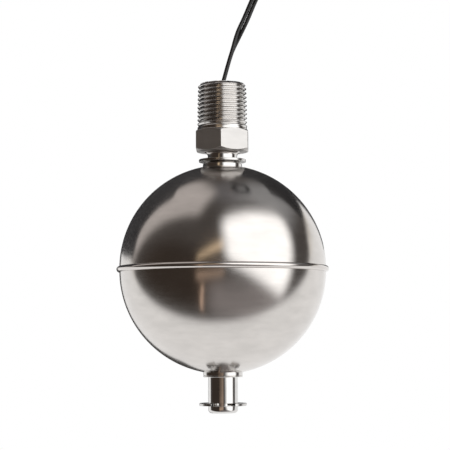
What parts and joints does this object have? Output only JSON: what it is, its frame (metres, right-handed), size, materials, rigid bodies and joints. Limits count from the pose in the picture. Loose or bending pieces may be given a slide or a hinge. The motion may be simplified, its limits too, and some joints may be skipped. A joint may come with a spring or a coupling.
{
  "type": "float level switch",
  "caption": "Stainless steel ball float with a seam round its middle, sliding on a stem between two retaining rings under a threaded hexagon fitting with lead wires.",
  "frame": {"origin": "middle of the hexagon's top face, on the stem's axis, where the taper pipe thread begins", "axes": "+Z along the stem towards the thread's free end and the leads, as mounted in a tank's top; -Y is the side that a hexagon corner and the lower retaining ring's opening face"},
  "size_m": [0.0914, 0.0914, 0.1954],
  "materials": {
    "fitting_steel": "bright turned stainless steel",
    "stem_steel": "ground stainless steel tube",
    "weld_steel": "dressed weld",
    "ring_steel": "stamped spring steel",
    "float_steel": "spun and brushed stainless sheet",
    "hub_steel": "turned stainless steel",
    "magnet": "dark ferrite",
    "retainer_steel": "pressed sheet",
    "board": "bare laminate",
    "reed_metal": "plated reed",
    "reed_glass": "clear greenish glass",
    "solder": "bright solder",
    "sleeve": "translucent sleeve",
    "spacer": "natural nylon",
    "potting": "black resin",
    "lead_insulation": "black lead insulation",
    "lead_core": "tinned copper strand",
    "tie": "black nylon tie"
  },
  "bodies": {
    "stem": {"fitting": "fitting_steel", "stem_tube": "stem_steel", "stem_end_plug": "stem_steel", "stem_weld": "weld_steel", "upper_retaining_ring": "ring_steel", "lower_retaining_ring": "ring_steel", "reed_board": "board", "upper_reed_blade": "reed_metal", "lower_reed_blade": "reed_metal", "reed_glass": "reed_glass", "upper_solder_joint": "solder", "lower_solder_joint": "solder", "insulating_sleeve": "sleeve", "board_spacer": "spacer", "potting": "potting", "inner_lead_a": "lead_insulation", "inner_lead_b": "lead_insulation", "lead_a": "lead_insulation", "lead_b": "lead_insulation", "lead_coil": "lead_insulation", "coil_tie": "tie", "lead_tail_a": "lead_insulation", "lead_tail_b": "lead_insulation", "lead_end_a": "lead_core", "lead_end_b": "lead_core"},
    "magnet": {"ring_magnet": "magnet"},
    "float": {"upper_float_shell": "float_steel", "lower_float_shell": "float_steel", "float_seam_weld": "float_steel", "upper_hub": "hub_steel", "lower_hub": "hub_steel", "float_centre_tube": "hub_steel", "upper_magnet_retainer": "retainer_steel", "lower_magnet_retainer": "retainer_steel"}
  },
  "joints": [
    {"name": "float_slide", "type": "slide", "parent": "stem", "child": "magnet", "axis": [0, 0, 1], "range_m": [-0.0109, 0]},
    {"name": "float_spin", "type": "hinge", "parent": "magnet", "child": "float", "pos_m": [0, 0, -0.06034], "axis": [0, 0, 1], "continuous": true}
  ]
}
